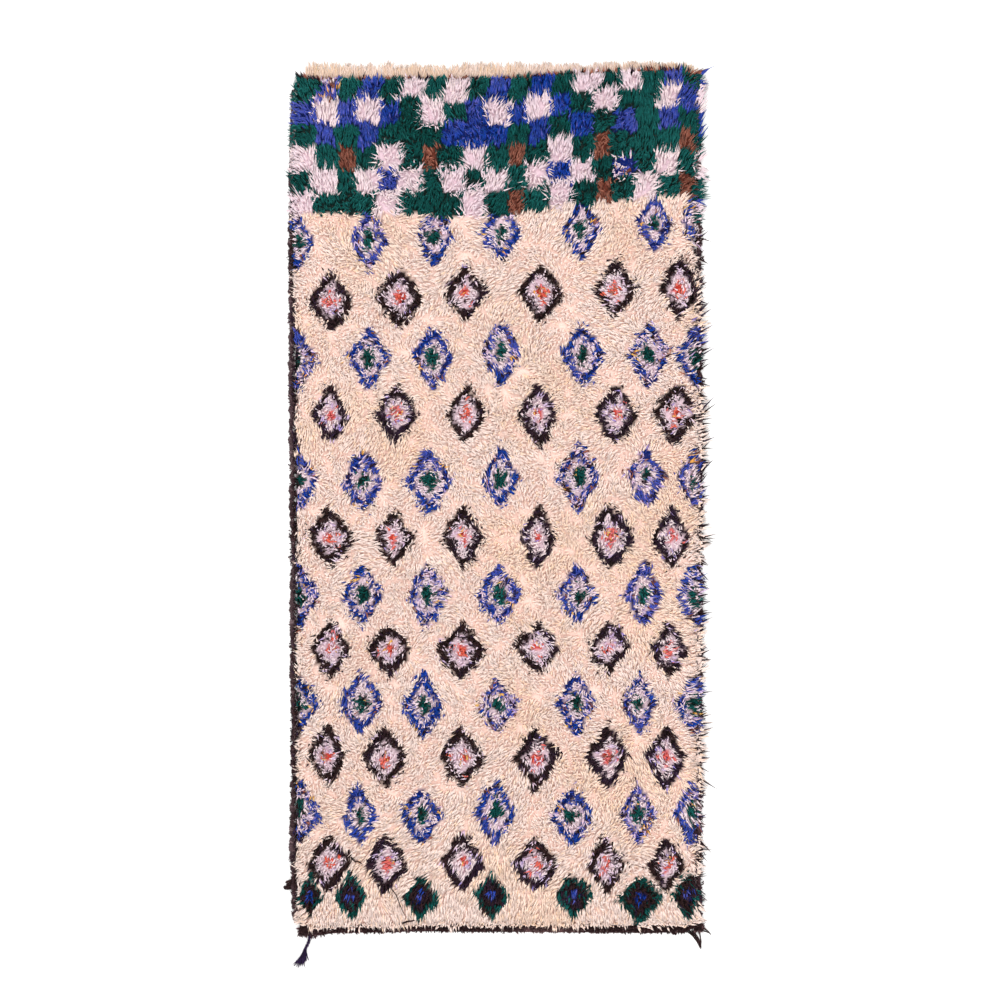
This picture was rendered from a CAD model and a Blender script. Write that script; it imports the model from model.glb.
# %% [markdown]
# # A berber rug, grown knot by knot
# The rug is a ground cloth with about twenty-five thousand wool knots tied into it. Each knot
# shows two cut ends, and the colour of a knot is all that draws the pattern. This script grows
# the same thing: a grid of knots, a dye for each, and three tapering strands of yarn from each.
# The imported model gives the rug's size, so the first step is to open it and keep its box.

# %% Open the frame
import math

import bpy
import numpy as np
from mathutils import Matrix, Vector
from mathutils.bvhtree import BVHTree


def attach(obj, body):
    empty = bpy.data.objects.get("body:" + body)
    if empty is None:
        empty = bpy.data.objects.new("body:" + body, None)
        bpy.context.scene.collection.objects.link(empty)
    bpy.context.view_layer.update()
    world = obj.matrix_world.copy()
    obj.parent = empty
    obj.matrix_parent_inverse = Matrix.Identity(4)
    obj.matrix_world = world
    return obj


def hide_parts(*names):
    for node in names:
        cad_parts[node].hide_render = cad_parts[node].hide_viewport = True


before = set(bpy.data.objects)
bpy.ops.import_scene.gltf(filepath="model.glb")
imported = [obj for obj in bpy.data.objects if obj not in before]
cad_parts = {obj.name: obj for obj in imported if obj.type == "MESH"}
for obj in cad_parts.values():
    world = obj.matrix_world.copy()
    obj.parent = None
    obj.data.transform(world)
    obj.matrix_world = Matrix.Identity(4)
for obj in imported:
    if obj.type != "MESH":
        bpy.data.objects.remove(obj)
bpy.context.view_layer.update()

# %% [markdown]
# ## Chance that repeats
# Handwork is uneven, so nearly every size below gets a little chance. Blender's own random
# numbers differ from run to run unless they are seeded. Here each piece has a numpy generator
# with its own seed, so that a change to one piece leaves the others as they were. Some
# unevenness is smooth, like the way the pile has been brushed, and comes from a lattice of
# random values with an eased blend between them.

# %% Seeded chance and smooth drift
def chance(seed):
    return np.random.default_rng(seed)


def eased(share):
    share = np.clip(share, 0, 1)
    return share * share * (3 - 2 * share)


def drift(x, y, cell, seed):
    """A smooth random value from -1 to 1 at each place, which changes over a cell."""
    size = 64
    lattice = chance(seed).uniform(-1, 1, (size, size))
    u, v = np.asarray(x) / cell + size / 2, np.asarray(y) / cell + size / 2
    i, j = np.floor(u).astype(int), np.floor(v).astype(int)
    s, t = eased(u - i), eased(v - j)

    def at(a, b):
        return lattice[(i + a) % size, (j + b) % size]

    near, far = (at(0, k) * (1 - s) + at(1, k) * s for k in (0, 1))
    return near * (1 - t) + far * t


def drift_along(place, cell, seed):
    """The same along a single line."""
    return drift(place, 0 * place, cell, seed)


print("Two drift values a hand apart:", drift([0, 0.1], [0, 0], 0.08, 1).round(2))

# %% [markdown]
# ## The outline of the ground cloth
# A loom never gives a true rectangle, and the frame's slab already has this rug's bowed sides
# and sloping end. The lowest ring of its points is the edge of the cloth. They are sorted into
# four sides, and each side becomes a line that can be read at any place.

# %% Read the four edges of the cloth
ON_FLOOR = 0.001
OUTER_SHARE = 0.9

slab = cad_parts["pile_rug"]
slab_points = np.array([vertex.co for vertex in slab.data.vertices])
ring = slab_points[slab_points[:, 2] < ON_FLOOR]
half = np.abs(ring[:, :2]).max(0)
reach = np.abs(ring[:, :2]) / half
on_edge = reach.max(1) > OUTER_SHARE
on_side = on_edge & (reach[:, 0] >= reach[:, 1])
on_end = on_edge & (reach[:, 0] < reach[:, 1])


def edge_line(chosen, along, across):
    line = ring[chosen][np.argsort(ring[chosen][:, along])]
    return lambda place: np.interp(place, line[:, along], line[:, across])


left = edge_line(on_side & (ring[:, 0] < 0), 1, 0)
right = edge_line(on_side & (ring[:, 0] > 0), 1, 0)
bottom = edge_line(on_end & (ring[:, 1] < 0), 0, 1)
top = edge_line(on_end & (ring[:, 1] > 0), 0, 1)
cloth_wide, cloth_long = float(right(0) - left(0)), float(top(0) - bottom(0))
print("The cloth is", round(cloth_wide, 3), "by", round(cloth_long, 3))

# %% [markdown]
# Two more things are asked of the cloth again and again: where a place lies on it and how far
# that is from each edge, and how high the pile is there. The height is read from the frame's
# slab with a ray that comes straight down.

# %% Find places and heights on the cloth
PLAIN_HEIGHT = 0.025
DOWN = Vector((0, 0, -1))
surface = BVHTree.FromPolygons(
    [tuple(point) for point in slab_points],
    [tuple(face.vertices) for face in slab.data.polygons],
)


def on_cloth(across, along):
    """Where a share of the cloth's width and of its length lies."""
    y = bottom(0) + (top(0) - bottom(0)) * along
    x = left(y) + (right(y) - left(y)) * across
    return x, bottom(x) + (top(x) - bottom(x)) * along


def to_edges(x, y):
    """How far in from the left, right, bottom and top edge each place is."""
    return x - left(y), right(y) - x, y - bottom(x), top(x) - y


def pile_top(x, y):
    """The height of the frame's lumpy slab at each place, or a plain height off it."""
    heights = []
    for px, py in zip(np.ravel(x), np.ravel(y)):
        hit = surface.ray_cast(Vector((px, py, 1)), DOWN)[0]
        heights.append(hit.z if hit else PLAIN_HEIGHT)
    return np.reshape(heights, np.shape(x))


print("The pile is", round(float(pile_top([0.0], [0.0])[0]), 4), "m high in the middle")

# %% [markdown]
# ## The knots
# Knots are tied in rows across the rug, each round two warps, with some weft between the rows.
# A row is a little further from the next than a knot is from its neighbour. All of them go in
# two flat arrays, because numpy works on whole arrays at once and twenty-five thousand Python
# loops would be slow.

# %% Lay out the knots
KNOT_ACROSS = 0.0098
KNOT_ALONG = 0.0112
UNEVEN_ACROSS, UNEVEN_ALONG = 0.0014, 0.0018

knot_columns, knot_rows = round(cloth_wide / KNOT_ACROSS), round(cloth_long / KNOT_ALONG)
across, along = np.meshgrid(
    (np.arange(knot_columns) + 0.5) / knot_columns, (np.arange(knot_rows) + 0.5) / knot_rows
)
knot_x, knot_y = (part.ravel() for part in on_cloth(across, along))
luck = chance(11)
knot_x += luck.uniform(-UNEVEN_ACROSS, UNEVEN_ACROSS, knot_x.size)
knot_y += luck.uniform(-UNEVEN_ALONG, UNEVEN_ALONG, knot_y.size)
print(knot_x.size, "knots in", knot_rows, "rows of", knot_columns)

# %% [markdown]
# ## How the pile falls
# Cut yarn this long can't stand up. It rises from the knot, curls over and lies on the roots of
# its neighbours like thatch. It also falls in locks: ends that lean the same way and gather at
# the tip. Near an edge nothing holds it up, so it spills outwards. The banded end has been
# combed down, and the checked end up. Hair particles with clumping would do the same, but they
# don't export as a mesh, so the lean of every strand is worked out here from where it stands.

# %% Part each knot into strands
STRANDS = 3
STRAND_APART = 0.0031
ROOT_ACROSS, ROOT_ALONG = 0.0014, 0.0036

luck = chance(47)
strand_knot = np.repeat(np.arange(knot_x.size), STRANDS)
count = strand_knot.size
place_in_knot = np.tile([-1, 0, 1], knot_x.size) * STRAND_APART
root_x = knot_x[strand_knot] + place_in_knot + luck.uniform(-ROOT_ACROSS, ROOT_ACROSS, count)
root_y = knot_y[strand_knot] + luck.uniform(-ROOT_ALONG, ROOT_ALONG, count)
from_left, from_right, from_bottom, from_top = to_edges(root_x, root_y)
print(count, "strands")

# %% Gather the strands in locks
LOCK_CELL = 0.030
LOCKS = 256
LOCK_SHIFT = 0.45


def find_locks(x, y):
    """The middle of the nearest lock and its own lean, for each strand."""
    i0, j0 = np.floor(x / LOCK_CELL).astype(int), np.floor(y / LOCK_CELL).astype(int)
    shift = chance(48).uniform(-LOCK_SHIFT, LOCK_SHIFT, (2, LOCKS, LOCKS))
    own_lean = chance(49).normal(0, 1, (2, LOCKS, LOCKS))
    nearest = np.full(x.size, np.inf)
    found = np.zeros((x.size, 4))
    for di in (-1, 0, 1):
        for dj in (-1, 0, 1):
            i, j = (i0 + di) % LOCKS, (j0 + dj) % LOCKS
            cx = (i0 + di + 0.5 + shift[0, i, j]) * LOCK_CELL
            cy = (j0 + dj + 0.5 + shift[1, i, j]) * LOCK_CELL
            distance = np.hypot(x - cx, y - cy)
            closer = distance < nearest
            nearest[closer] = distance[closer]
            found[closer] = np.stack([cx, cy, own_lean[0, i, j], own_lean[1, i, j]], 1)[closer]
    return found[:, :2], found[:, 2:]


lock_middle, lock_lean = find_locks(root_x, root_y)
per_lock = count * LOCK_CELL ** 2 / (cloth_wide * cloth_long)
print("A lock gathers about", round(per_lock), "strands")

# %% Give every strand its lean
BROAD_LEAN, BROAD_CELL = 1.05, 0.15
FINE_LEAN, FINE_CELL = 0.55, 0.055
LOCK_LEAN, OWN_LEAN = 0.30, 0.22
PANEL_START, PANEL_BLEND = 0.76, 0.06
PANEL_LEAN = 0.80
COMBED, COMBED_DEPTH = 0.6, 0.10
# How strongly the pile spills over each edge, by the place along it, and how deep that goes
SPILL_LEFT = ((-1.23, -1.14, -1.08, -0.4, 0.3, 0.8), (1.8, 1.2, 0.1, 0.5, 1.0, 2.0))
SPILL_RIGHT = ((-1.2, 0.8), (1.7, 2.2))
SPILL_DEPTH = 0.030
SPILL_TOP, TOP_DEPTH = 2.4, 0.014
SPILL_HEM, HEM_DEPTH = 1.9, 0.110


def brushed(cell, *seeds):
    """Two smooth random values for each strand: its lean across and along."""
    return np.stack([drift(root_x, root_y, cell, seed) for seed in seeds], 1)


lean = BROAD_LEAN * brushed(BROAD_CELL, 7, 8) + FINE_LEAN * brushed(FINE_CELL, 9, 10)
lean += LOCK_LEAN * lock_lean + luck.normal(0, OWN_LEAN, (count, 2))
panel = eased((root_y - PANEL_START) / PANEL_BLEND)
lean[:, 0] *= 1 - COMBED * np.maximum(panel, np.exp(-from_bottom / COMBED_DEPTH))
lean[:, 1] += PANEL_LEAN * panel
loose = 0.9 + 0.5 * np.tanh(lock_lean[:, 1])
lean[:, 0] += loose * np.interp(root_y, *SPILL_RIGHT) * np.exp(-from_right / SPILL_DEPTH)
lean[:, 0] -= loose * np.interp(root_y, *SPILL_LEFT) * np.exp(-from_left / SPILL_DEPTH)
spill_ends = SPILL_TOP * np.exp(-from_top / TOP_DEPTH)
lean[:, 1] += spill_ends - SPILL_HEM * np.exp(-from_bottom / HEM_DEPTH)
print("The middle lean is", round(float(np.median(np.hypot(*lean.T))), 2))

# %% [markdown]
# How far the pile reaches past the cloth differs from side to side, and along each side. Two
# tables hold the least and the most, and chance picks a value between them for each strand. The
# outermost knots along the sides are dark, and the row next to the fringe is trimmed shorter.
# That end also climbs towards the right, where the rug was pulled out of square.

# %% Set how far the pile may reach past each edge
DARK_RIM = {"left": 0.009, "right": 0.0045}
DARK_FROM, DARK_TO = -1.165, 0.78
FIRST_ROW = 0.012
CLIMB, CORNER_CLIMB = 0.028, 0.028
LEAST_PAST = {
    # side: places along it, how far past it
    "left": ((-1.18, -1.12, 0.3, 0.85), (0.006, -0.016, -0.016, 0.006)),
    "right": ((-1, 0.85), (0.012, 0.023)),
    "bottom": (
        (-0.5, -0.3, 0.22, 0.30, 0.46, 0.56),
        (-0.017, -0.018, -0.024, -0.032, -0.030, -0.016),
    ),
    "top": ((0,), (-0.006,)),
}
MOST_PAST = {
    "left": ((0.3, 0.85), (0.016, 0.023)),
    "right": ((-1, 0.85), (0.052, 0.062)),
    "bottom": ((-0.5, 0.2), (0.014, 0.005)),
    "top": ((0,), (0.012,)),
}

knot_trim = chance(55).uniform(0.4, 1.6, knot_x.size)
trimmed = chance(51).beta(1.3, 2.0, count) * knot_trim[strand_knot]
ragged = 0.5 + 0.5 * drift(root_x, root_y, 0.016, 56)
dark_part = (root_y < DARK_TO) & (root_y > DARK_FROM)
rim_left = (from_left < DARK_RIM["left"] * (0.5 + ragged)) & dark_part
rim_right = (from_right < DARK_RIM["right"] * (0.5 + ragged)) & dark_part
first_row = from_top < FIRST_ROW
# side: the strands with a least and a most of their own
OWN_PAST = {"left": (rim_left, 0.004, 0.020), "top": (first_row, 0.001, 0.017)}


def climb(x, corner=0.0):
    """How much further up the last rows reach towards the right, and at the left corner."""
    return CLIMB * np.clip(x / 0.56, 0, 1) + corner * eased((-0.530 - x) / 0.03)


def most_past(side, x, y):
    """How far past each edge of the cloth a tip may lie."""
    place = y if side in ("left", "right") else x
    least, most = np.interp(place, *LEAST_PAST[side]), np.interp(place, *MOST_PAST[side])
    if side in OWN_PAST:
        chosen, own_least, own_most = OWN_PAST[side]
        least, most = np.where(chosen, own_least, least), np.where(chosen, own_most, most)
    past = least + (most - least) * trimmed * (0.6 + 0.8 * ragged)
    return past + 0.7 * climb(x, CORNER_CLIMB) * (side == "top")


print(int(np.sum(rim_left | rim_right)), "strands in the dark rims")

# %% Lay the strands down
STRAND_REACH = 0.037
LOCK_GATHER = 0.22
SEEN = 0.66
OUTWARDS = {"left": (-1, 0), "right": (1, 0), "bottom": (0, -1), "top": (0, 1)}


def laid(lean, stretch):
    """Where the tips come to lie, and how flat each strand lies from 0 to 1."""
    steep = np.hypot(*lean.T)
    flat = np.tanh(0.85 * steep)
    heading = lean / np.maximum(steep, 1e-6)[:, None]
    out = heading * (STRAND_REACH * stretch * (0.22 + 0.80 * flat))[:, None]
    tips = np.stack([root_x, root_y], 1) + out
    tips += LOCK_GATHER * (1 + panel)[:, None] * (lock_middle + out - tips)
    for side, inward in zip(OUTWARDS, to_edges(*tips.T)):
        too_far = np.maximum(0, -inward - most_past(side, *tips.T))
        tips -= too_far[:, None] * np.array(OUTWARDS[side])
    return tips, flat


tufted = eased(0.5 + 1.4 * drift(root_x, root_y, 0.035, 57))
near_right = np.exp(-from_right / 0.022)
strand_length = chance(52).uniform(0.78, 1.16, count) * (1 + near_right * (0.6 + 0.95 * tufted))
strand_length *= 1 + 20 * climb(root_x, CORNER_CLIMB) * np.exp(-from_top / 0.02)
tip_xy, flatness = laid(lean, strand_length)
seen_x = root_x + SEEN * (tip_xy[:, 0] - root_x)
seen_y = root_y + SEEN * (tip_xy[:, 1] - root_y)
seen_off = np.hypot(seen_x - root_x, seen_y - root_y)
print("A strand is seen", round(1000 * float(np.median(seen_off))), "mm from its root")

# %% [markdown]
# ## The dyes and the diamonds
# A weaver counts knots from memory, so each diamond is a little off in place and size, and its
# outline is one or two knots wide. A diamond is the set of places where the two distances from
# its middle, each as a share of its half size, add up to less than one. That sum also tells how
# deep inside a place is, which gives the ring, the filling and the heart. Colours that touch in
# the ring are mixed by chance, as they are where a weaver used up short ends of yarn.
#
# The eye sees the pattern in the lying part of the pile, not at the roots. So a strand takes
# the dye of the place where it comes to lie, which keeps the diamonds where they are seen.

# %% Name the dyes and the mixtures
DYES = ("cream", "pink", "green", "blue", "black", "rust", "lilac", "coral", "gold")
MIXTURES = {
    "blue_ring": {"blue": 0.56, "black": 0.13, "lilac": 0.23, "rust": 0.05, "gold": 0.03},
    "blue_filling": {"pink": 0.72, "lilac": 0.18, "blue": 0.09, "gold": 0.01},
    "blue_heart": {"green": 0.96, "black": 0.04},
    "black_ring": {"black": 0.92, "lilac": 0.08},
    "black_filling": {"pink": 0.56, "lilac": 0.28, "black": 0.11, "coral": 0.05},
    "black_heart": {"coral": 0.46, "gold": 0.12, "rust": 0.08, "pink": 0.34},
    "green_ring": {"green": 0.84, "black": 0.16},
    "green_filling": {"black": 0.93, "green": 0.07},
    "green_heart": {"blue": 0.58, "black": 0.42},
    "mixed_square": {"blue": 0.42, "pink": 0.22, "lilac": 0.14, "rust": 0.14, "gold": 0.08},
}


def drawn_dyes(mixture, draw):
    """A dye number for each draw from 0 to 1, by the mixture's shares."""
    shares = np.cumsum(list(MIXTURES[mixture].values()))
    numbers = np.array([DYES.index(name) for name in MIXTURES[mixture]])
    return numbers[np.searchsorted(shares / shares[-1], draw * 0.9999)]


print(len(DYES), "dyes in", len(MIXTURES), "mixtures")

# %% Set out the diamond lattice
# Each column of diamonds drifts on its way down the rug: its x at the checked and banded ends
BLUE_COLUMNS = (
    (-0.572, -0.566),
    (-0.365, -0.397),
    (-0.176, -0.222),
    (0.016, -0.010),
    (0.248, 0.213),
    (0.448, 0.397),
    (0.577, 0.563),
)
BLACK_COLUMNS = (
    (-0.471, -0.483),
    (-0.274, -0.322),
    (-0.090, -0.105),
    (0.125, 0.105),
    (0.345, 0.305),
    (0.520, 0.480),
)
GREEN_COLUMNS = (
    (-0.540, -0.540),
    (-0.420, -0.420),
    (-0.219, -0.219),
    (-0.016, -0.016),
    (0.211, 0.211),
    (0.408, 0.408),
    (0.546, 0.546),
)
COLUMNS = {"blue": BLUE_COLUMNS, "black": BLACK_COLUMNS, "green": GREEN_COLUMNS}
ROWS = (
    # along, colour, half width, half height
    (0.757, "blue", 0.056, 0.086),
    (0.583, "black", 0.063, 0.086),
    (0.408, "blue", 0.058, 0.092),
    (0.239, "black", 0.062, 0.088),
    (0.056, "blue", 0.062, 0.092),
    (-0.113, "black", 0.061, 0.088),
    (-0.280, "blue", 0.062, 0.091),
    (-0.430, "black", 0.062, 0.078),
    (-0.586, "blue", 0.060, 0.086),
    (-0.738, "black", 0.063, 0.090),
    (-0.902, "blue", 0.058, 0.089),
    (-1.044, "black", 0.062, 0.084),
    (-1.140, "green", 0.054, 0.068),
)
WIDER = {("green", 0): 0.62, ("green", 1): 0.85, ("green", 5): 1.32}
LATTICE_TOP, LATTICE_BOTTOM = 0.757, -0.902
TILT, TILT_ENDS = 0.052, 0.32

diamonds = []
luck = chance(23)
for row_y, colour, wide, tall in ROWS:
    share = np.clip((LATTICE_TOP - row_y) / (LATTICE_TOP - LATTICE_BOTTOM), 0, 1)
    tilt = TILT * np.clip((row_y - TILT_ENDS) / (LATTICE_TOP - TILT_ENDS), 0, 1)
    for number, (x_first, x_last) in enumerate(COLUMNS[colour]):
        middle_x = x_first + (x_last - x_first) * share + luck.uniform(-0.004, 0.004)
        middle_y = row_y + tilt * middle_x + luck.uniform(-0.006, 0.006)
        wider = WIDER.get((colour, number), 1)
        half_size = wider * wide * luck.uniform(0.88, 1.10), tall * luck.uniform(0.95, 1.07)
        diamonds.append((middle_x, middle_y, colour, *half_size, luck.uniform(0.7, 2.4)))
print(len(diamonds), "diamonds")

# %% Read the dye of a place among the diamonds
# Where the heart ends and the ring starts, from the middle of a diamond to its outline
HEARTS = {"blue": 0.34, "black": 0.24, "green": 0.31}
RINGS = {"blue": 0.64, "black": 0.64, "green": 0.72}
ROUNDNESS = 1.12
DIAMOND_BURST = 0.30
SHORTER = {"heart": 0.80, "filling": 0.68, "ring": 0.90}


def dye_diamonds(x, y, draw, fray, found):
    """Writes the dye, the way outwards and the strand length of the diamonds into found."""
    for middle_x, middle_y, colour, wide, tall, purity in diamonds:
        dx, dy = (x - middle_x) / wide, (y - middle_y) / tall
        depth = (np.abs(dx) ** ROUNDNESS + np.abs(dy) ** ROUNDNESS) ** (1 / ROUNDNESS) + fray
        heart, ring = HEARTS[colour], RINGS[colour]
        parts = (("heart", -1, heart), ("filling", heart, ring), ("ring", ring, 1))
        for part, low, high in parts:
            inside = (depth >= low) & (depth < high)
            found["dye"][inside] = drawn_dyes(f"{colour}_{part}", draw[inside] ** purity)
            found["out"][inside] = DIAMOND_BURST * np.stack([dx, dy], 1)[inside]
            found["length"][inside] = SHORTER[part]


print("A heart is from", min(HEARTS.values()), "to", max(HEARTS.values()), "of its diamond")

# %% [markdown]
# ## The checked panel
# The panel at the top is six rows of squares, and such panels follow a simple rule. In the
# upper half green and blue squares take turns, with a pink one wherever four of them meet. In
# the lower half rust squares stand in green crosses with pink between them. The rule is written
# as short charts that repeat along each row, and a few squares are then changed by chance. That
# gives the look of a panel made from memory without copying it square by square.

# %% Chart the checked panel
CHECK_WIDE, CHECK_TALL = 0.0610, 0.0655
CHECK_CHANGED = 0.07
SQUARES, LAST_SQUARE = 24, 18
CHART = ("gbgbgpgp", "bpbpbgpg", "gbgb", "pgrg", "gpgpbpgp", "pgrg")
LETTERS = {"g": "green", "b": "blue", "p": "pink", "r": "rust"}
MIXED = len(DYES)


def chart_squares(columns):
    """The dye number of every square, a few of them changed by chance."""
    luck = chance(31)
    squares = np.zeros((columns, len(CHART)), int)
    for column in range(columns):
        for row, letters in enumerate(CHART):
            letter = letters[column % len(letters)]
            if luck.uniform() < CHECK_CHANGED and 0 < column < LAST_SQUARE:
                letter = luck.choice(list("ggbm"))
            squares[column, row] = MIXED if letter == "m" else DYES.index(LETTERS[letter])
    return squares


squares = chart_squares(SQUARES)
print("The panel is", len(CHART), "rows of", LAST_SQUARE + 1, "squares")

# %% Read the dye of a place in the panel
PINK_LONGER, OTHERS_SHORTER = 1.25, 0.92
RUST_HALF = 0.68


def dye_checks(x, y, draw, found):
    """Writes the dye, the way outwards and the strand length of the squares into found."""
    across = (x - left(y)) / CHECK_WIDE + 0.10 * drift(x, y, 0.06, 5)
    tall = CHECK_TALL - 0.09 * climb(x)
    down = (top(x) + 0.004 + climb(x) - y) / tall + 0.12 * drift(x, y, 0.05, 6)
    column, row = np.floor(across).astype(int), np.maximum(np.floor(down).astype(int), 0)
    inside = row < len(CHART)
    found["dye"][inside] = squares[np.clip(column[inside], 0, SQUARES - 1), row[inside]]
    found["out"][inside] = np.stack([across - column - 0.5, row + 0.5 - down], 1)[inside] * 2
    pink = found["dye"][inside] == DYES.index("pink")
    found["length"][inside] = np.where(pink, PINK_LONGER, OTHERS_SHORTER)
    mixed = found["dye"] == MIXED
    found["dye"][mixed] = drawn_dyes("mixed_square", draw[mixed])
    outer = np.abs(found["out"][:, 0]) > RUST_HALF
    found["dye"][inside & outer & (found["dye"] == DYES.index("rust"))] = DYES.index("green")


def pattern(x, y, draw, fray):
    """The dye number, the way outwards in its motif and the strand length at each place."""
    found = {
        "dye": np.zeros(x.size, int),
        "out": np.zeros((x.size, 2)),
        "length": np.ones(x.size),
    }
    x, y = x + 0.004 * drift(x, y, 0.022, 3), y + 0.005 * drift(x, y, 0.022, 4)
    dye_diamonds(x, y, draw, fray, found)
    dye_checks(x, y, draw, found)
    return found


print("The middle of the rug is", DYES[pattern(*np.zeros((4, 1)))["dye"][0]])

# %% Dye every strand
luck = chance(37)
draw = luck.uniform(0, 1, knot_x.size)[strand_knot]
fray = luck.normal(0, 0.045, knot_x.size)[strand_knot]
found = pattern(seen_x, seen_y, draw, fray)
strand_dye = found["dye"]
brown_row = first_row & (drift(root_x, root_y, 0.035, 38) > -0.5)
strand_dye[brown_row & (draw < 0.75)] = DYES.index("rust")
strand_dye[brown_row & (draw < 0.4)] = DYES.index("black")
strand_dye[rim_left | rim_right] = DYES.index("black")
print({name: int(np.sum(strand_dye == number)) for number, name in enumerate(DYES)})

# %% [markdown]
# ## Bending the strands
# Pink squares were tied with a softer yarn, left longer, so they burst open like small flowers
# over the squares next to them. With that added to the lean, each strand becomes a curve: up
# from its root, then over, with the tip lying on the pile around it. Past the edge of the cloth
# there is nothing to lie on, so the tip falls towards the floor.

# %% Bend the strands
PILE_ROOT, LEAST_HEIGHT = 0.003, 0.003
BEND_OUT, BEND_UP = 0.20, 1.30
FLATTENED, DROOP = 0.16, 0.022
BURSTS = {"pink": 0.50, "lilac": 0.20, "rust": 0.10, "coral": 0.2, "gold": 0.2}
TANGLED = 0.36
SHARES = np.array([0, 0.5, 1])

dye_burst = np.array([BURSTS.get(name, 0.0) for name in DYES])[strand_dye]
dyed = (strand_dye != DYES.index("cream"))[:, None]
tangle = TANGLED * (1 - 0.5 * panel)[:, None] * chance(54).normal(0, 1, (count, 2))
lean += dye_burst[:, None] * found["out"] + dyed * tangle
tip_xy, flatness = laid(lean, strand_length * found["length"])
height = pile_top(root_x, root_y) * chance(53).uniform(0.90, 1.06, count)
past = np.maximum(0, -np.min(to_edges(*tip_xy.T), axis=0))
tip_z = height * (1.0 - FLATTENED * flatness) * np.exp(-past / DROOP) + LEAST_HEIGHT
root = np.stack([root_x, root_y, np.full(count, PILE_ROOT)], 1)
bend = np.column_stack([root[:, :2] + BEND_OUT * (tip_xy - root[:, :2]), BEND_UP * height])
tip = np.column_stack([tip_xy, tip_z])


def curve(start, middle, finish, shares):
    """Points on the curve that leaves start towards middle and ends at finish."""
    t = np.asarray(shares)[None, :, None]
    start, middle, finish = (points[:, None] for points in (start, middle, finish))
    return start * (1 - t) ** 2 + middle * 2 * t * (1 - t) + finish * t * t


paths = curve(root, bend, tip, SHARES)
tops = paths[:, -1, 2].min(), paths[..., 2].max()
print("The pile is from", tops[0].round(4), "to", tops[1].round(4), "m high")

# %% [markdown]
# ## From a curve to a strand of yarn
# A strand is a tube that tapers to a point. Three sides and one bend are enough at this size,
# because smooth shading rounds them, and they keep 77,000 strands under a million triangles.
# All strands of one dye share a mesh. The numbers of the faces are the same for each strand but
# for an offset, so one short pattern is repeated by numpy. Every strand also gets a cell of the
# bake map to itself, and two values that its material will read.

# %% A mesh of many strands
def tube_pattern(rings, sides):
    """The corners, sizes and map places of the faces of one tapering tube."""
    corners, sizes, places = [], [], []
    rises = 0.12 + 0.86 * np.linspace(0, 1, rings + 1)
    for ring_number in range(rings - 1):
        for i in range(sides):
            low, high = ring_number * sides, (ring_number + 1) * sides
            after = (i + 1) % sides
            corners += [low + i, low + after, high + after, high + i]
            u, w = (i + 0.02) / sides, (i + 0.98) / sides
            v, z = rises[ring_number], rises[ring_number + 1]
            places += [(u, v), (w, v), (w, z), (u, z)]
            sizes.append(4)
    last = (rings - 1) * sides
    for i in range(sides):
        corners += [last + i, last + (i + 1) % sides, rings * sides]
        places += [((i + 0.02) / sides, rises[-2]), ((i + 0.98) / sides, rises[-2])]
        places += [((i + 0.5) / sides, rises[-1])]
        sizes.append(3)
    for i in reversed(range(sides)):
        corners.append(i)
        angle = math.tau * i / sides
        places.append((0.5 + 0.3 * math.cos(angle), 0.05 + 0.04 * math.sin(angle)))
    sizes.append(sides)
    return np.array(corners), np.array(sizes), np.array(places)


def filled_mesh(name, points, corners, sizes, places):
    """A smooth mesh object from flat arrays, with its bake map."""
    mesh = bpy.data.meshes.new(name)
    points = np.reshape(points, (-1, 3))
    mesh.vertices.add(len(points))
    mesh.vertices.foreach_set("co", points.ravel().astype(np.float32))
    mesh.loops.add(len(corners))
    mesh.loops.foreach_set("vertex_index", corners.astype(np.int32))
    mesh.polygons.add(len(sizes))
    starts = np.concatenate([[0], np.cumsum(sizes)[:-1]])
    mesh.polygons.foreach_set("loop_start", starts.astype(np.int32))
    mesh.polygons.foreach_set("use_smooth", np.ones(len(sizes), bool))
    if places is not None:
        bake_map = mesh.uv_layers.new(name="OFBake")
        bake_map.data.foreach_set("uv", np.ravel(places).astype(np.float32))
    mesh.update(calc_edges=True)
    item = bpy.data.objects.new(name, mesh)
    bpy.context.scene.collection.objects.link(item)
    return item


def give_values(item, **values):
    """Stores a number at each point, which a material reads by its name."""
    for name, numbers in values.items():
        stored = item.data.attributes.new(name, "FLOAT", "POINT")
        stored.data.foreach_set("value", np.ravel(numbers).astype(np.float32))


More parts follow.
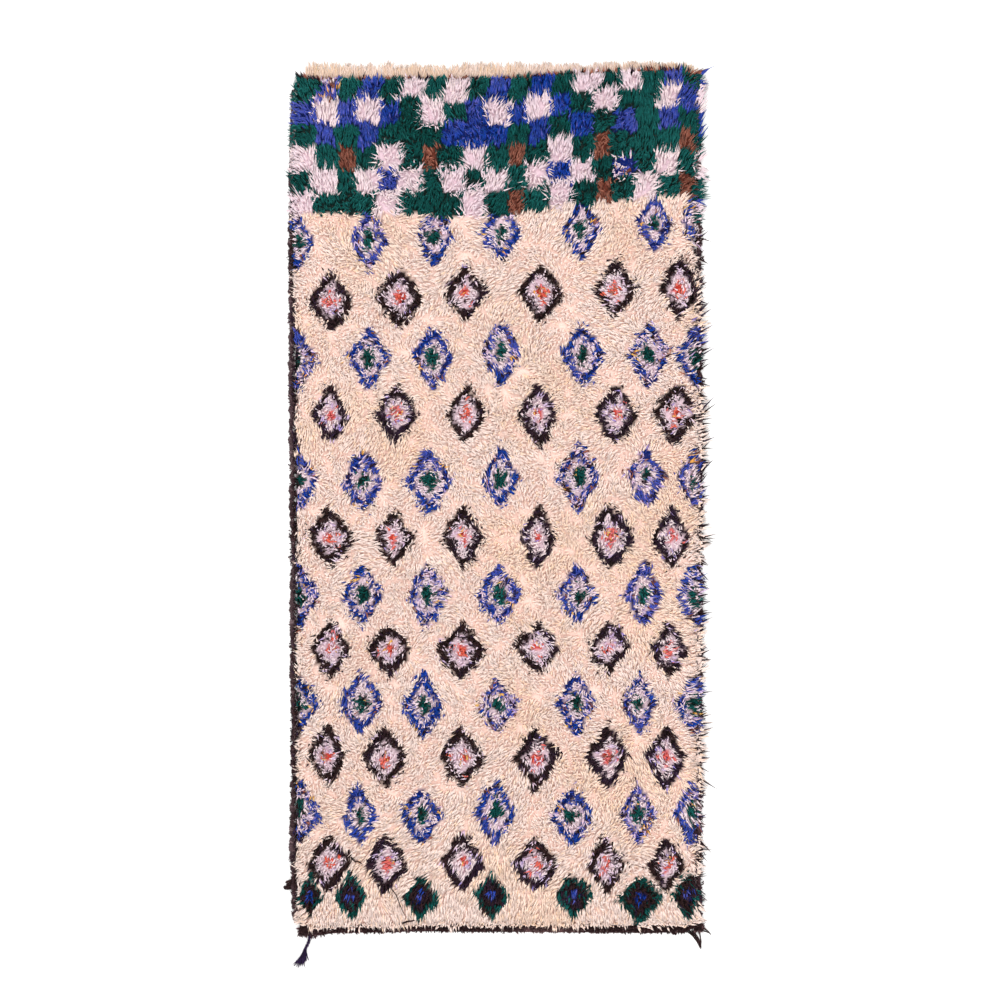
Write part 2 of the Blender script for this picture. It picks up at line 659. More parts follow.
def strand_mesh(name, paths, radii, sides, luck):
    """Tapering tubes along paths, all in one mesh. radii has a value for each ring."""
    number, steps = paths.shape[:2]
    rings = steps - 1
    towards = np.gradient(paths, axis=1)
    towards /= np.linalg.norm(towards, axis=2, keepdims=True)
    flat = paths[:, -1] - paths[:, 0]
    sideways = np.stack([flat[:, 1], -flat[:, 0], np.zeros(number)], 1)
    sideways[np.linalg.norm(sideways, axis=1) < 1e-6] = (1, 0, 0)
    sideways /= np.linalg.norm(sideways, axis=1, keepdims=True)
    sideways = np.repeat(sideways[:, None], rings, 1)
    upwards = np.cross(sideways, towards[:, :-1])
    upwards /= np.linalg.norm(upwards, axis=2, keepdims=True)
    angles = math.tau * (np.arange(sides) / sides) - math.pi / 2
    turn = np.cos(angles)[None, None, :, None] * sideways[:, :, None]
    turn = turn + np.sin(angles)[None, None, :, None] * upwards[:, :, None]
    around = paths[:, :-1, None] + radii[:, :, None, None] * turn
    points = np.concatenate([around.reshape(number, rings * sides, 3), paths[:, -1:]], 1)
    corners, sizes, places = tube_pattern(rings, sides)
    per_strand = rings * sides + 1
    all_corners = (corners[None] + np.arange(number)[:, None] * per_strand).ravel()
    cells = math.ceil(math.sqrt(number))
    cell = np.stack([np.arange(number) % cells, np.arange(number) // cells], 1)
    all_places = (places[None] * 0.94 + 0.03 + cell[:, None]) / cells
    item = filled_mesh(name, points, all_corners, np.tile(sizes, number), all_places)
    rise = np.append(np.repeat(np.arange(rings) / rings, sides), 1)
    give_values(
        item,
        along=np.tile(rise, number),
        tone=np.repeat(luck.uniform(0, 1, number), per_strand),
        stray=np.repeat(luck.uniform(0, 1, number), per_strand),
    )
    return item


def tapered(luck, thin, thick, number, shares):
    """A radius for each ring of each strand, from shares of the strand's own thickness."""
    return luck.uniform(thin, thick, (number, 1)) * np.array([shares])


print("One pile strand has", int((tube_pattern(2, 3)[1] - 2).sum()), "triangles")

# %% [markdown]
# ## Writing finishes as sums
# A material's nodes are easier to read as sums than as boxes and wires. The class below wraps a
# socket so that Python's own plus, minus and times make Math nodes. Colours don't go through
# Math nodes, which would turn them grey: they are mixed by a Mix node.

# %% A socket that can be added and multiplied
class Wire:
    """A socket of a finish, which Python's operators can work on."""

    def __init__(self, finish, socket):
        self.finish, self.socket = finish, socket

    def __add__(self, other):
        return self.finish.maths("ADD", self, other)

    def __sub__(self, other):
        return self.finish.maths("SUBTRACT", self, other)

    def __mul__(self, other):
        return self.finish.maths("MULTIPLY", self, other)

    __radd__, __rmul__ = __add__, __mul__

    def held(self):
        """The value kept between 0 and 1."""
        return self.finish.node("Clamp", None, {"Value": self})


class Finish:
    """One material while it is put together."""

    def __init__(self, name, roughness):
        self.material = bpy.data.materials.new(name)
        self.material.use_nodes = True
        self.nodes, self.links = self.material.node_tree.nodes, self.material.node_tree.links
        self.shader = self.nodes["Principled BSDF"]
        self.shader.inputs["Roughness"].default_value = roughness
        self.shader.inputs["Specular IOR Level"].default_value = 0.12

    def join(self, value, socket):
        if isinstance(value, Wire):
            self.links.new(value.socket, socket)
        else:
            socket.default_value = value

    def node(self, kind, settings=None, inputs=None, output=0):
        """Adds a node: its settings first, then the values or wires of its sockets."""
        made = self.nodes.new("ShaderNode" + kind)
        for name, value in (settings or {}).items():
            setattr(made, name, value)
        for name, value in (inputs or {}).items():
            self.join(value, made.inputs[name])
        return Wire(self, made.outputs[output])

    def maths(self, operation, first, second):
        return self.node("Math", {"operation": operation}, {0: first, 1: second})

    def stored(self, name, output=2):
        return self.node("Attribute", {"attribute_name": name}, None, output)

    def place(self):
        return self.node("TexCoord", None, None, 3)

    def noise(self, scale, detail=2.0):
        inputs = {"Vector": self.place(), "Scale": scale, "Detail": detail}
        return self.node("TexNoise", None, inputs)

    def blend(self, share, first, second):
        settings = {"data_type": "RGBA"}
        return self.node("Mix", settings, {0: share, 6: first, 7: second}, 2)

    def feed(self, **sockets):
        """Joins wires to the shader's own sockets, such as Base_Color."""
        for name, value in sockets.items():
            self.join(value, self.shader.inputs[name.replace("_", " ")])
        return self.material


def colour(red, green, blue):
    """A colour as a screen shows it, 0 to 255, turned into the light that Blender works in."""
    light = ((np.array([red, green, blue]) / 255 + 0.055) / 1.055) ** 2.4
    return (*light.tolist(), 1.0)


print("Cream is", [round(part, 2) for part in colour(240, 212, 190)])

# %% [markdown]
# ## Wool in nine dyes
# Hand-dyed wool is never one colour. Each strand takes its own place between a deep and a
# bright shade, broad patches drift between them too, and a few strands come from another batch.
# Towards the knot the strong dyes get darker, and the cream gets warmer. A fine noise in the
# bump stands for the loose fibres. Light sinks a few millimetres into wool and comes out again
# nearby, and a little sheen gives it its soft edge. These two are the same all over, so they
# are set on the shader itself.

# %% The finish of dyed wool
WOOL = {
    # dye: deep, bright, other batch, depth of colour left at the root
    "cream": ((236, 207, 196), (244, 220, 211), (242, 203, 173), 1.26),
    "pink": ((219, 193, 203), (233, 210, 217), (236, 213, 211), 1.05),
    "green": ((0, 32, 30), (0, 72, 68), (20, 90, 87), 0.50),
    "blue": ((4, 29, 97), (20, 65, 172), (84, 88, 174), 0.50),
    "black": ((20, 11, 12), (48, 29, 29), (38, 25, 48), 0.50),
    "rust": ((104, 50, 38), (176, 112, 92), (66, 28, 22), 0.60),
    "lilac": ((208, 174, 196), (240, 216, 230), (132, 116, 190), 0.75),
    "coral": ((200, 66, 52), (238, 118, 94), (220, 120, 130), 0.70),
    "gold": ((206, 144, 62), (240, 194, 116), (232, 156, 84), 0.70),
}
SOFTNESS = {
    "Subsurface Weight": 0.35,
    "Subsurface Radius": (1.0, 0.85, 0.75),
    "Subsurface Scale": 0.004,
    "Sheen Weight": 0.15,
    "Sheen Roughness": 0.6,
}


def wool(name, deep, bright, other, root_share):
    """A finish whose strands lie between two shades, with some from another batch."""
    finish = Finish(name, 0.92)
    tone, along = finish.stored("tone"), finish.stored("along")
    patch = finish.noise(13.0)
    shade = (0.62 * tone + 0.9 * patch - 0.26).held()
    mixed = finish.blend(shade, colour(*deep), colour(*bright))
    batch = ((finish.stored("stray") - 0.82) * 8.0).held() * 0.75
    area = ((finish.noise(3.2) - 0.47) * 6.0).held() * 0.5
    mixed = finish.blend((batch + area).held(), mixed, colour(*other))
    root = tuple(part * root_share for part in colour(*deep)[:3]) + (1.0,)
    mixed = finish.blend((along * 1.5 + 0.1).held(), root, mixed)
    fibre = finish.noise(760.0, 4.0)
    bump = {"Strength": 0.4, "Distance": 0.0006, "Height": fibre}
    for socket, value in {**SOFTNESS, "Sheen Tint": colour(*bright)}.items():
        finish.shader.inputs[socket].default_value = value
    return finish.feed(Base_Color=mixed, Normal=finish.node("Bump", None, bump))


wools = {name: wool(f"wool_{name}", *shades) for name, shades in WOOL.items()}
print(len(wools), "wool finishes")

# %% [markdown]
# ## Growing the pile
# Each dye is a piece of its own. The cream field has far more strands than the others, so it is
# cut into bands along the rug, which keeps every piece a reasonable size.

# %% Grow a piece for each dye
STRAND_RADIUS = (0.0018, 0.0025)
MOST_STRANDS = 18000

pile = []
for number, name in enumerate(DYES):
    chosen = np.flatnonzero(strand_dye == number)
    chosen = chosen[np.argsort(root_y[chosen], kind="stable")]
    bands = math.ceil(chosen.size / MOST_STRANDS)
    for band, members in enumerate(np.array_split(chosen, bands)):
        luck = chance(100 + 10 * number + band)
        radii = tapered(luck, 0.80, 1.16, members.size, STRAND_RADIUS)
        label = f"pile_{name}_{band + 1}" if bands > 1 else f"pile_{name}"
        piece = strand_mesh(label, paths[members], radii, 3, luck)
        piece.data.materials.append(wools[name])
        pile.append(piece)
        print(label, members.size, "strands")

# %% [markdown]
# ## The ground cloth
# Under the pile lies the cloth with the feet of the knots. It shows only between strands, as a
# darker patch of the same dye, but without it a gap would show bare floor. It is a closed sheet
# whose top rises well into the pile, with each point coloured by the knot above it.

# %% Close a sheet from a grid of points
SHEET_STEP = 0.012


def closed_sheet(name, upper, floor):
    """A mesh between a grid of upper points and the same grid flat at the floor height."""
    rows, columns = upper.shape[:2]
    lower = upper.copy()
    lower[..., 2] = floor
    points = np.concatenate([upper.reshape(-1, 3), lower.reshape(-1, 3)])
    index = np.arange(rows * columns).reshape(rows, columns)
    quads = np.stack([index[:-1, :-1], index[:-1, 1:], index[1:, 1:], index[1:, :-1]], -1)
    quads = quads.reshape(-1, 4)
    below = quads[:, ::-1] + rows * columns
    rim = [index[0, :], index[1:, -1], index[-1, -2::-1], index[-2:0:-1, 0]]
    rim = np.concatenate(rim)
    after = np.roll(rim, -1)
    wall = np.stack([rim, rim + rows * columns, after + rows * columns, after], 1)
    corners = np.concatenate([quads, below, wall])
    return filled_mesh(name, points, corners.ravel(), np.full(len(corners), 4), None)


print("The ground cloth gets a point every", SHEET_STEP, "m")

# %% Lay the ground cloth
INSET_ACROSS, INSET_ALONG = 0.006 / 1.15, 0.006 / 2.43
RIM_THICK, RIM_DEPTH, FILL = 0.005, 0.03, 0.62

columns, rows = round(cloth_wide / SHEET_STEP), round(cloth_long / SHEET_STEP)
across, along = np.meshgrid(np.linspace(0, 1, columns), np.linspace(0, 1, rows))
sheet_x, sheet_y = on_cloth(
    INSET_ACROSS + across * (1 - 2 * INSET_ACROSS),
    INSET_ALONG + along * (1 - 2 * INSET_ALONG),
)
rim_share = eased(np.min(to_edges(sheet_x, sheet_y), axis=0) / RIM_DEPTH)
sheet_z = RIM_THICK + rim_share * (FILL * pile_top(sheet_x, sheet_y) - RIM_THICK)
ground = closed_sheet("ground_cloth", np.stack([sheet_x, sheet_y, sheet_z], -1), 0.0)
print("The ground cloth has", len(ground.data.polygons), "faces")

# %% Dye the ground cloth like the knots above it
WEAVE_DARK = (0.20, 0.13, 0.10, 1)

sheet_x, sheet_y = sheet_x.ravel(), sheet_y.ravel()
sheet_dye = pattern(sheet_x, sheet_y, np.full(sheet_x.size, 0.3), np.zeros(sheet_x.size))["dye"]
shades = np.array([colour(*WOOL[name][0]) for name in DYES])[sheet_dye]
stored = ground.data.color_attributes.new("dye", "FLOAT_COLOR", "POINT")
stored.data.foreach_set("color", np.concatenate([shades, shades]).astype(np.float32).ravel())

finish = Finish("ground_weave", 0.95)
weave = finish.noise(260.0, 3.0)
dark = finish.blend((weave * 1.2 - 0.62).held(), finish.stored("dye", 0), WEAVE_DARK)
bump = finish.node("Bump", None, {"Strength": 0.9, "Distance": 0.003, "Height": weave})
ground.data.materials.append(finish.feed(Base_Color=dark, Normal=bump))
print("The sheet's points lie under", len(np.unique(sheet_dye)), "dyes")

# %% [markdown]
# ## The overcast edges
# The outermost warps of each long edge are wrapped round and round with dark goat hair, which
# saves the edge from wear. Each wrap is a ridge that slants a little. The edge is a tube whose
# sections swell and shrink in turn, three to a wrap, and each wrap takes a tone of its own.

# %% A tube of wraps along a line
SECTIONS = np.array([0.80, 1.0, 0.95])


def wrapped_tube(name, middle, wide, tall, slant, sides, luck):
    """A closed tube with ridges. middle is its line, wide and tall are its half sizes."""
    number = len(middle)
    towards = np.gradient(middle, axis=0)
    towards /= np.linalg.norm(towards, axis=1, keepdims=True)
    sideways = np.stack([towards[:, 1], -towards[:, 0], np.zeros(number)], 1)
    ridge = SECTIONS[np.arange(number) % 3]
    ends = np.minimum(1, 0.35 + 0.2 * np.minimum(np.arange(number), np.arange(number)[::-1]))
    swell = (ridge * ends)[:, None]
    angles = math.tau * (np.arange(sides) + 0.5) / sides
    cosine, sine = np.cos(angles)[None], np.sin(angles)[None]
    points = middle[:, None] + (cosine * wide * swell)[..., None] * sideways[:, None]
    points = points + (cosine * slant)[..., None] * towards[:, None]
    points[..., 2] += sine * tall * swell
    index = np.arange(number * sides).reshape(number, sides)
    beside = np.roll(index, -1, 1)
    quads = np.stack([index[:-1], beside[:-1], beside[1:], index[1:]], -1).reshape(-1)
    corners = np.concatenate([quads, index[0][::-1], index[-1]])
    sizes = np.concatenate([np.full((number - 1) * sides, 4), [sides, sides]])
    item = filled_mesh(name, points, corners, sizes, None)
    wrap = np.arange(number) // 3
    tones, strays = luck.uniform(0, 1, (2, wrap.max() + 1))
    give_values(
        item,
        along=np.repeat((ridge - 0.75) * 4, sides),
        tone=np.repeat(tones[wrap], sides),
        stray=np.repeat(strays[wrap], sides),
    )
    return item


print("A wrap has", SECTIONS.size, "sections")

# %% Wrap the two long edges
WRAP_PITCH = 0.0056
CORD_HALF, CORD_TALL = 0.0080, 0.0046
CORD_INTO_CLOTH = 0.002
WRAP_SLANT = 0.0022
BANDED_END, CHECKED_END = -1.2, 1.2
SIDES = (
    # side, its line, the way outwards, the seeds of its cord and of its frays
    ("left", left, -1, 71, 75),
    ("right", right, 1, 72, 76),
)
edge_wool = wool("edge_wool", (30, 18, 22), (78, 58, 62), (116, 96, 100), 0.5)

edges = {}
for side, line, out, seed, _ in SIDES:
    low, high = bottom(line(BANDED_END)) + 0.004, top(line(CHECKED_END)) - 0.006
    along = np.arange(low, high, WRAP_PITCH / 3)
    waver = 0.0020 * drift_along(along, 0.03, 73) + 0.0028 * drift_along(along, 0.011, 74)
    across = line(along) + out * (CORD_HALF - CORD_INTO_CLOTH + waver)
    middle = np.stack([across, along, np.full(along.size, 1.25 * CORD_TALL + 0.0002)], 1)
    lumps = 1 + 0.44 * drift_along(along, 0.010, 77)[:, None]
    lumps *= 1 - 0.40 * eased((along - PANEL_START) / 0.04)[:, None]
    wide, tall = CORD_HALF * lumps, CORD_TALL * lumps
    slant = out * WRAP_SLANT
    cord = wrapped_tube(f"edge_cord_{side}", middle, wide, tall, slant, 6, chance(seed))
    cord.data.materials.append(edge_wool)
    edges[side] = cord
    print(side, "edge has", along.size // 3, "wraps")

# %% [markdown]
# ## Frayed hair along the edges
# Goat hair is wiry, and worn wraps stick up as short dark tufts, outwards and also in over the
# pile. They break up the straight line of the edge. Each is a strand like those of the pile,
# lying nearly flat.

# %% Fray the edge yarn
FRAYS = 1000
FRAY_ZONES = {"left": (-0.006, 0.012), "right": (-0.006, 0.016)}
FRAY_TURN = 0.002
# The height at the start and at the tip, of the ends outside and of those over the pile
OUTER_HEIGHTS, INNER_HEIGHTS = (0.0085, 0.003), (0.0180, 0.024)
SWING, ARCH = 0.16, 0.0012


def lying_paths(start, direction, reach, low, steps, luck):
    """Paths that leave their starts, swing a little and come down to a low height."""
    t = np.linspace(0, 1, steps)[None, :, None]
    direction = direction / np.linalg.norm(direction, axis=1, keepdims=True)
    sideways = np.stack([-direction[:, 1], direction[:, 0]], 1)
    swing = sideways * luck.normal(0, SWING, (len(start), 1))
    away = direction[:, None] * t + swing[:, None] * t ** 2
    flat = start[:, None, :2] + away * reach[:, None, None]
    height = start[:, None, 2:] * (1 - t) + low * t + ARCH * np.sin(math.pi * t)
    return np.concatenate([flat, height], 2)


for side, line, out, _, seed in SIDES:
    luck = chance(seed)
    y = luck.uniform(bottom(line(BANDED_END)) + 0.01, top(line(CHECKED_END)) - 0.01, FRAYS)
    across = luck.uniform(*FRAY_ZONES[side], FRAYS)
    outer = across > FRAY_TURN
    high, low = (np.where(outer, *pair) for pair in zip(OUTER_HEIGHTS, INNER_HEIGHTS))
    start = np.stack([line(y) + out * across, y, high], 1)
    sideways = out * np.where(outer, 1.0, luck.normal(0.2, 1, FRAYS))
    direction = np.stack([sideways, luck.normal(-0.3, 0.9, FRAYS)], 1)
    reach = luck.uniform(0.005, 0.011, FRAYS) * (0.6 + 0.8 * np.abs(drift_along(y, 0.012, 78)))
    reach[y > DARK_TO] *= 0.5
    ends = lying_paths(start, direction, reach, low[:, None, None], 3, luck)
    radii = tapered(luck, 0.0016, 0.0026, FRAYS, (0.8, 1))
    fray = strand_mesh(f"edge_fray_{side}", ends, radii, 3, luck)
    fray.data.materials.append(edge_wool)
    edges["fray_" + side] = fray
    print(side, "edge has", int(outer.sum()), "of its", FRAYS, "frayed ends on the outside")

# %% [markdown]
# ## The end band
# Before the first knots the weaver makes a narrow flat band of dark weft, which locks the
# cloth. Its ribs are the warps that it covers. The band is a thin closed sheet with those ribs
# in it, and the last knots hang over it.

# %% Weave the end band
RIB_PITCH = 0.0064
BAND_THICK = 0.0046
# Places across the rug, and how many millimetres deep the band is there
BAND_DEEP = ((-0.58, -0.545, -0.46, -0.2, 0.06, 0.19, 0.57), (20, 25, 17, 16, 17, 16, 19))

rib_columns = round(cloth_wide / RIB_PITCH) * 4 + 1
band_x = np.linspace(left(BANDED_END) + 0.006, right(BANDED_END) - 0.006, rib_columns)
band_share = np.linspace(1, 0, 6)[:, None]
turned = math.tau * band_x / RIB_PITCH
deep = np.interp(band_x, *BAND_DEEP) / 1000
deep = deep + 0.0012 * drift_along(band_x, 0.02, 81) + 0.0008 * np.cos(turned)
band_y = bottom(band_x)[None] + 0.004 - band_share * (deep + 0.004)[None]
rib = 0.70 + 0.30 * np.cos(turned + 9 * band_share)
crown = np.array([0.35, 0.85, 1, 1, 1, 0.9])[:, None]
grid_x = np.broadcast_to(band_x, band_y.shape)
grid = np.stack([grid_x, band_y, BAND_THICK * crown * rib], -1)
band = closed_sheet("end_band_weave", grid, 0.0)
points = band_y.size * 2
luck = chance(82)
give_values(
    band,
    along=np.full(points, 0.8),
    tone=np.tile(np.repeat(luck.uniform(0, 1, 6), rib_columns), 2),
    stray=np.tile(luck.uniform(0, 1, band_y.size), 2),
)
band_wool = wool("band_wool", (26, 13, 15), (60, 38, 40), (112, 84, 86), 0.6)
band.data.materials.append(band_wool)
print("The end band has", rib_columns // 4, "ribs")

# %% [markdown]
# The band's own weft has worn into short ends too. They hang over its edge in little bunches,
# which makes the hem ragged and hides its ribs in places. At the two corners, where the side
# edges end, they fan out and round the corner off.

# %% Wear the band into short ends
HEM_ENDS, CORNER_ENDS = 1500, 120
HEM_CORNERS = (
    # across, along, the way outwards as an angle
    (-0.554, -1.234, -2.1),
    (0.572, -1.222, -0.9),
)

luck = chance(83)
x = luck.uniform(left(BANDED_END) + 0.012, right(BANDED_END) - 0.004, HEM_ENDS)
deep = np.interp(x, *BAND_DEEP) / 1000
from_edge = luck.uniform(-0.012, 1, HEM_ENDS)
y = bottom(x) + 0.010 - (0.008 + deep) * from_edge
start = np.stack([x, y, 0.016 - 0.010 * from_edge], 1)
swing = 0.5 * drift_along(x, 0.02, 84) + luck.normal(0, 0.35, HEM_ENDS)
direction = np.stack([swing, -np.ones(HEM_ENDS)], 1)
reach = 0.50 * deep * luck.uniform(0.5, 1.2, HEM_ENDS)
hem_paths = [lying_paths(start, direction, reach, 0.0052, 3, luck)]
for corner_x, corner_y, turn in HEM_CORNERS:
    place = np.array([corner_x, corner_y]) + luck.uniform(-0.011, 0.011, (CORNER_ENDS, 2))
    start = np.column_stack([place, luck.uniform(0.006, 0.014, CORNER_ENDS)])
    angle = turn + luck.normal(0, 0.55, CORNER_ENDS)
    direction = np.stack([np.cos(angle), np.sin(angle)], 1)
    reach = luck.uniform(0.008, 0.019, CORNER_ENDS)
    hem_paths.append(lying_paths(start, direction, reach, 0.003, 3, luck))
hem_paths = np.concatenate(hem_paths)
radii = tapered(luck, 0.0015, 0.0025, len(hem_paths), (0.9, 1))
hem = strand_mesh("end_band_ends", hem_paths, radii, 3, luck)
hem.data.materials.append(band_wool)
print(len(hem_paths), "worn ends")

# %% [markdown]
# ## The fringe at the other end
# Past the checked end the warps are simply cut, and lie out on the floor as a short cream
# fringe. They are finer than the pile and nearly straight. A few brown and coloured ends of the
# last rows lie among them.

# %% Lay out the fringe
FRINGE_ENDS = 1700
# Places across the rug, and how many millimetres the fringe reaches there
FRINGE_REACH = ((-0.58, -0.545, -0.46, -0.2, 0.06, 0.19, 0.57), (52, 62, 61, 60, 60, 46, 42))

luck = chance(85)
x = np.sort(luck.uniform(left(CHECKED_END) + 0.020, right(CHECKED_END) - 0.004, FRINGE_ENDS))
reach = np.interp(x, *FRINGE_REACH) / 1000 * luck.uniform(0.58, 1.06, FRINGE_ENDS)
reach *= 0.90 + 0.12 * drift_along(x, 0.022, 87)
bunch = 0.42 * drift_along(x, 0.018, 86) + luck.normal(0, 0.16, FRINGE_ENDS)
start = np.stack([x, top(x) - 0.004, luck.uniform(0.003, 0.010, FRINGE_ENDS)], 1)
direction = np.stack([bunch, np.ones(FRINGE_ENDS)], 1)
ends = lying_paths(start, direction, reach + 0.004, 0.002, 4, luck)
radii = tapered(luck, 0.0012, 0.0020, FRINGE_ENDS, (1, 1, 0.75))
fringe = strand_mesh("fringe_warps", ends, radii, 3, luck)
fringe_wool = wool("fringe_wool", (212, 180, 163), (244, 219, 208), (228, 192, 156), 0.95)
fringe.data.materials.append(fringe_wool)
print(FRINGE_ENDS, "warp ends")

# %% [markdown]
# ## The corner tassel
# At one corner the last warps are twisted into a cord, bound with a few wraps, and left open as
# a small tassel. It is violet, unlike the rest. The cord is two plies that turn round each
# other, and the wraps are the same ridged tube as the edge.

# %% Twist the cord and bind it
TASSEL_START = (-0.5370, -1.2480)
TASSEL_HEAD = (-0.5490, -1.2860)
NECK_LIFT = 0.0054
NECK_PLY, PLY_APART = 0.0030, 0.0022
NECK_STEPS = 24
tassel_wool = wool("tassel_wool", (26, 13, 40), (54, 38, 76), (20, 11, 24), 0.6)

luck = chance(91)
start, head = (np.array([*place, NECK_LIFT]) for place in (TASSEL_START, TASSEL_HEAD))
share = np.linspace(0, 1, NECK_STEPS)[:, None]
line = start + (head - start) * share + np.array([0.003, 0, 0]) * np.sin(math.pi * share)
forward = (head - start) / np.linalg.norm(head - start)
aside, upwards = np.array([forward[1], -forward[0], 0]), np.array([0, 0, 1])
plies = []
for turn in (0, math.pi):
    angle = 5 * math.pi * share + turn
    plies.append(line + PLY_APART * (np.cos(angle) * aside + np.sin(angle) * upwards))
ply_radii = np.full((2, NECK_STEPS - 1), NECK_PLY)
neck = strand_mesh("tassel_cord", np.array(plies), ply_radii, 6, luck)

head_line = head + forward * np.linspace(-0.004, 0.009, 13)[:, None]
binding = wrapped_tube("tassel_binding", head_line, 0.0048, 0.0042, 0.0008, 8, luck)
print("The cord is", round(1000 * float(np.linalg.norm(head - start))), "mm long")

# %% Open the ends of the tassel
SKIRT = 46
SKIRT_SHORT, SKIRT_LONG = (-0.5440, -1.3230), (-0.5800, -1.3440)

spread = luck.uniform(-0.0035, 0.0035, (SKIRT, 1))
start = head + forward * 0.006 + aside * spread
start[:, 2] = luck.uniform(0.0025, 0.0075, SKIRT)
slope = luck.uniform(0, 1, (SKIRT, 1)) ** 0.8
goal = np.array(SKIRT_SHORT) * (1 - slope) + np.array(SKIRT_LONG) * slope
towards = goal + luck.normal(0, 0.0014, (SKIRT, 2)) - start[:, :2]
skirt_paths = lying_paths(start, towards, np.linalg.norm(towards, axis=1), 0.002, 5, luck)
radii = tapered(luck, 0.0014, 0.0020, SKIRT, (1, 1.1, 1, 0.75))
skirt = strand_mesh("tassel_skirt", skirt_paths, radii, 5, luck)
tassel = [neck, binding, skirt]
for piece in tassel:
    piece.data.materials.append(tassel_wool)
print("The tassel has", SKIRT, "open ends")

# %% [markdown]
# ## Stray yarns
# A used rug has ends that have worked loose: three dark yarns on the pile near the banded end,
# a tuft of green past the fringe, a twist of edge yarn at the left, and wisps at the last
# corner. Each is drawn by hand as a few points on the real rug, in millimetres.

# %% Draw the stray yarns
STRAYS = (
    # finish, radius in millimetres, points across and along in millimetres
    ("black", 2.8, ((-417, -1021), (-405, -1033), (-398, -1031), (-383, -1039))),
    ("edge", 1.6, ((-302, -1107), (-288, -1126), (-276, -1158), (-262, -1188))),
    ("black", 3.0, ((-271, -1208), (-258, -1203), (-246, -1202), (-233, -1199))),
    ("green", 2.0, ((452, 1206), (455, 1224), (459, 1240), (465, 1252))),
    ("green", 1.8, ((462, 1206), (462, 1218), (457, 1232), (449, 1243))),
    ("edge", 5.4, ((-574, -1090), (-588, -1092), (-598, -1096), (-608, -1099))),
    ("edge", 4.8, ((-574, -1097), (-588, -1101), (-598, -1104), (-606, -1106))),
    ("edge", 5.2, ((-574, -1106), (-588, -1109), (-602, -1111), (-615, -1112))),
    ("edge", 4.2, ((-576, -1112), (-590, -1116), (-604, -1117), (-613, -1116))),
    ("edge", 2.6, ((542, -1238), (558, -1250), (573, -1270), (583, -1293))),
    ("edge", 2.6, ((548, -1236), (564, -1250), (577, -1269), (584, -1290))),
    ("edge", 2.4, ((556, -1236), (569, -1249), (579, -1266), (584, -1286))),
    ("edge", 2.4, ((572, -1234), (579, -1244), (581, -1258), (584, -1276))),
    ("edge", 2.6, ((582, -1222), (594, -1232), (604, -1240), (612, -1250))),
    ("edge", 2.2, ((580, -1228), (590, -1238), (598, -1240), (606, -1244))),
)
STRAY_STEPS = 9
STRAY_ABOVE, STRAY_LOW = 0.0015, 0.0035
stray_wool = wool("stray_wool", (22, 12, 14), (48, 30, 30), (60, 40, 40), 0.6)
stray_wools = {**wools, "edge": stray_wool, "black": stray_wool}

strays = {}
for finish_name in ("black", "green", "edge"):
    luck = chance(95)
    lines, thick = [], []
    for name, radius, points in STRAYS:
        if name != finish_name:
            continue
        marks = np.array(points) / 1000
        t = np.linspace(0, len(marks) - 1, STRAY_STEPS)
        x, y = (np.interp(t, np.arange(len(marks)), marks[:, k]) for k in (0, 1))
        on_pile = np.min(to_edges(x, y), axis=0) > 0.01
        z = np.where(on_pile, pile_top(x, y) + STRAY_ABOVE, max(STRAY_LOW, radius / 1000))
        lines.append(np.stack([x, y, z], 1))
        thick.append(radius / 1000 * np.linspace(1, 0.7, STRAY_STEPS - 1))
    stray = strand_mesh(f"stray_{finish_name}", np.array(lines), np.array(thick), 5, luck)
    stray.data.materials.append(stray_wools[finish_name])
    strays[finish_name] = stray
print(len(STRAYS), "stray yarns in", len(strays), "pieces")

# %% [markdown]
# ## Stage, light and camera
# The rug was shown from straight above on white, in even light. A big lamp above the upper
# left gives each lock a bright and a shaded side. A second one across from it softens that, and
# the bright world fills the rest.

# %% Floor, lamps and camera
ACROSS_THE_PICTURE = 2.865
CAMERA_HEIGHT = 4.2
SENSOR = 36.0


def look(item, target):
    item.rotation_euler = (Vector(target) - item.location).to_track_quat("-Z", "Y").to_euler()


bpy.ops.mesh.primitive_plane_add(size=30, location=(0, 0, -0.0003))
floor = bpy.context.object
floor.name = "studio_floor"
finish = Finish("studio_paper", 0.9)
paper = finish.blend(finish.noise(2.0) * 0.3, (0.93, 0.93, 0.93, 1), (0.9, 0.9, 0.9, 1))
floor.data.materials.append(finish.feed(Base_Color=paper))

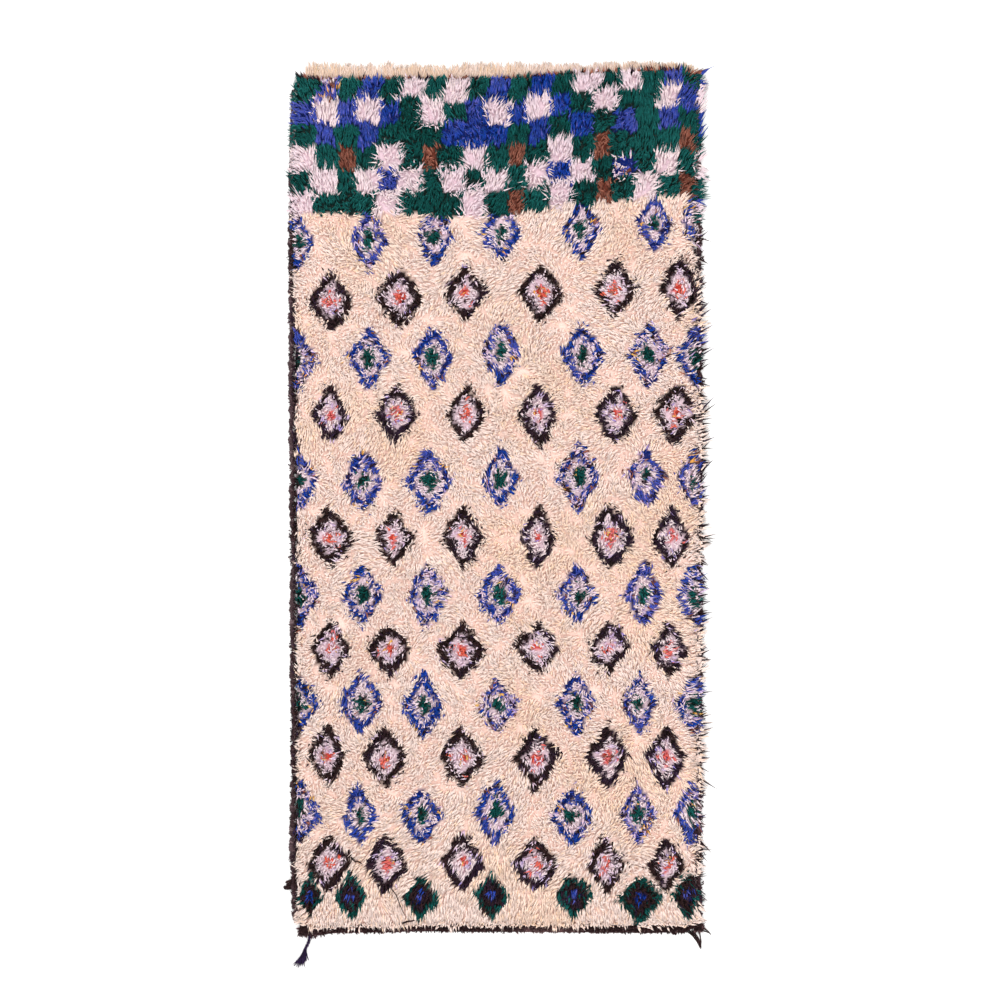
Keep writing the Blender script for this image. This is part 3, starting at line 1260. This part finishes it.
world = bpy.data.worlds.new("studio")
bpy.context.scene.world = world
world.use_nodes = True
world.node_tree.nodes["Background"].inputs["Color"].default_value = (1, 0.99, 0.98, 1)
world.node_tree.nodes["Background"].inputs["Strength"].default_value = 1.12


def lamp(name, location, size, watts):
    data = bpy.data.lights.new(name, "AREA")
    data.shape, data.size, data.energy = "DISK", size, watts
    item = bpy.data.objects.new(name, data)
    item.location = location
    bpy.context.scene.collection.objects.link(item)
    look(item, (0, 0, 0))


lamp("key_lamp", (-1.8, 2.2, 4.2), 2.4, 90)
lamp("fill_lamp", (1.6, -1.4, 4.6), 3.0, 90)

camera_data = bpy.data.cameras.new("camera")
camera_data.sensor_width = SENSOR
camera_data.lens = SENSOR * CAMERA_HEIGHT / ACROSS_THE_PICTURE
camera = bpy.data.objects.new("camera", camera_data)
camera.location = (0.007, -0.004, CAMERA_HEIGHT)
bpy.context.scene.collection.objects.link(camera)
bpy.context.scene.camera = camera
bpy.context.scene.view_settings.view_transform = "Standard"
print("The lens is", round(camera_data.lens, 1), "mm")

# %% [markdown]
# ## Back on the frame
# Every piece rides on the rug's one body, takes the material slot that its yarn has in the
# frame, and names the part of the frame that it stands for. The ground cloth is a laid sheet,
# and the rest of the rug lies with it. The last step keeps the sizes and closes the scene.

# %% Put every piece on the frame
PARTS = (
    ("pile_rug", "wool_pile", [ground, *pile, strays["black"]]),
    ("selvedge_left", "edge_yarn", [edges["left"], edges["fray_left"]]),
    ("selvedge_right", "edge_yarn", [edges["right"], edges["fray_right"]]),
    ("warp_fringe", "fringe_warp", [fringe, strays["green"]]),
    ("end_band", "band_yarn", [band, hem, strays["edge"]]),
    ("corner_tassel", "tassel_yarn", tassel),
)
others = []
for node, slot, pieces in PARTS:
    for piece in pieces:
        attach(piece, "root")
        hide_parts(node)
        if piece is not ground:
            others.append(piece)
polygons = (polygon for item in [ground, *others] for polygon in item.data.polygons)
triangles = sum(len(polygon.vertices) - 2 for polygon in polygons)
print(len(others) + 1, "pieces with", triangles, "triangles")
